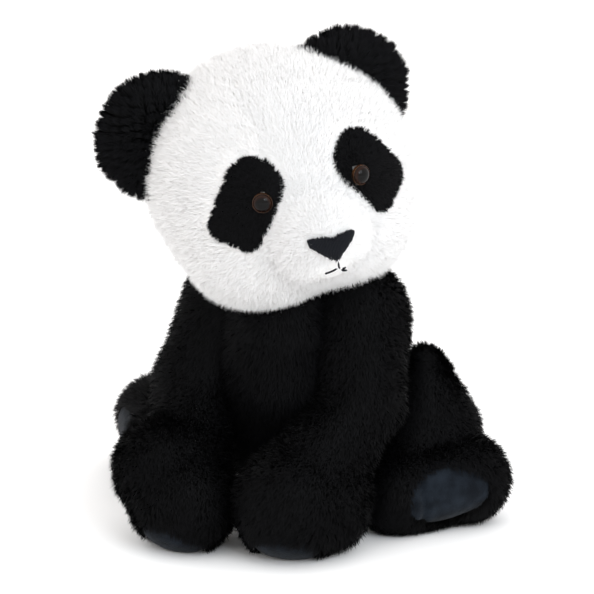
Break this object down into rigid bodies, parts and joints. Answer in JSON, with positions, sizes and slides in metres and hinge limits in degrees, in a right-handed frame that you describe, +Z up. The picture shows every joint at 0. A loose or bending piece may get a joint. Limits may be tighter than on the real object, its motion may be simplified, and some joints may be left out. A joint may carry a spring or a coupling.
{
  "type": "plush panda",
  "caption": "Sitting stuffed panda with jointed-by-seam head, ears, legs and tail, fur covers, suede paw pads and glossy safety eyes.",
  "frame": {"origin": "centre of the flat seat, on the surface the toy sits on", "axes": "+Z up, the body faces -Y, +X is the animal's left side"},
  "size_m": [0.2532, 0.2031, 0.2868],
  "materials": {
    "black_fur": "long-pile synthetic fur",
    "white_fur": "short-pile synthetic fur",
    "stuffing": "polyester fibre stuffing",
    "pellets": "pouch of plastic pellets",
    "suede": "brushed suede cloth",
    "white_cloth": "woven tape",
    "dark_thread": "embroidery thread with a satin sheen",
    "white_thread": "sewing thread",
    "eye_plastic": "polished clear dome over a dark back",
    "eye_back": "painted and moulded",
    "washer_plastic": "moulded"
  },
  "bodies": {
    "torso": {"chest_cover": "black_fur", "rump_cover": "white_fur", "seat_panel": "white_fur", "torso_stuffing": "stuffing", "seat_pellet_bag": "pellets", "back_closing_stitches": "white_thread", "neck_seam_thread": "dark_thread", "care_label": "white_cloth"},
    "neck": {"neck_stuffing": "stuffing"},
    "head": {"crown_gusset": "white_fur", "left_face_panel": "white_fur", "right_face_panel": "white_fur", "muzzle_cover": "white_fur", "head_stuffing": "stuffing", "left_eye_patch": "black_fur", "right_eye_patch": "black_fur", "left_eye_dome": "eye_plastic", "right_eye_dome": "eye_plastic", "left_eye_stem": "eye_back", "right_eye_stem": "eye_back", "left_eye_washer": "washer_plastic", "right_eye_washer": "washer_plastic", "nose_embroidery": "dark_thread", "mouth_stitches": "dark_thread"},
    "left_ear": {"left_ear_front": "black_fur", "left_ear_back": "black_fur"},
    "right_ear": {"right_ear_front": "black_fur", "right_ear_back": "black_fur"},
    "left_front_leg": {"left_front_leg_cover": "black_fur", "left_front_leg_stuffing": "stuffing", "left_front_paw_pellets": "pellets", "left_front_paw_pad": "suede"},
    "right_front_leg": {"right_front_leg_cover": "black_fur", "right_front_leg_stuffing": "stuffing", "right_front_paw_pellets": "pellets", "right_front_paw_pad": "suede"},
    "left_hind_leg": {"left_hind_leg_cover": "black_fur", "left_hind_leg_stuffing": "stuffing", "left_hind_foot_pellets": "pellets", "left_hind_foot_pad": "suede"},
    "right_hind_leg": {"right_hind_leg_cover": "black_fur", "right_hind_leg_stuffing": "stuffing", "right_hind_foot_pellets": "pellets", "right_hind_foot_pad": "suede"},
    "tail": {"tail_cover": "white_fur", "tail_stuffing": "stuffing"}
  },
  "joints": [
    {"name": "head_turn", "type": "hinge", "parent": "torso", "child": "neck", "pos_m": [0, -0.028, 0.15], "axis": [0, 0, 1], "range_deg": [-15, 10], "stiffness_Nm_per_rad": 6},
    {"name": "head_nod", "type": "hinge", "parent": "neck", "child": "head", "pos_m": [0, -0.028, 0.15], "axis": [0.7314, 0.682, 0], "range_deg": [-4, 4], "stiffness_Nm_per_rad": 60},
    {"name": "left_ear_fold", "type": "hinge", "parent": "head", "child": "left_ear", "pos_m": [0.03127, 0.00083, 0.26055], "axis": [-0.5297, -0.5552, 0.6412], "range_deg": [-20, 20], "stiffness_Nm_per_rad": 1},
    {"name": "right_ear_fold", "type": "hinge", "parent": "head", "child": "right_ear", "pos_m": [-0.05537, -0.07759, 0.23578], "axis": [-0.3634, -0.2531, -0.8966], "range_deg": [-20, 20], "stiffness_Nm_per_rad": 1},
    {"name": "left_front_leg_swing", "type": "hinge", "parent": "torso", "child": "left_front_leg", "pos_m": [0.042, -0.022, 0.118], "axis": [-1, 0, 0], "range_deg": [0, 35], "stiffness_Nm_per_rad": 4},
    {"name": "right_front_leg_swing", "type": "hinge", "parent": "torso", "child": "right_front_leg", "pos_m": [-0.038, -0.022, 0.118], "axis": [-1, 0, 0], "range_deg": [0, 35], "stiffness_Nm_per_rad": 4},
    {"name": "left_hind_leg_splay", "type": "hinge", "parent": "torso", "child": "left_hind_leg", "pos_m": [0.066, 0.017, 0.042], "axis": [0, 0, 1], "range_deg": [0, 20], "stiffness_Nm_per_rad": 3},
    {"name": "right_hind_leg_splay", "type": "hinge", "parent": "torso", "child": "right_hind_leg", "pos_m": [-0.066, 0.017, 0.042], "axis": [0, 0, -1], "range_deg": [0, 20], "stiffness_Nm_per_rad": 3},
    {"name": "tail_wag", "type": "hinge", "parent": "torso", "child": "tail", "pos_m": [0, 0.042, 0.037], "axis": [0, 0, 1], "range_deg": [-20, 20], "stiffness_Nm_per_rad": 1}
  ]
}
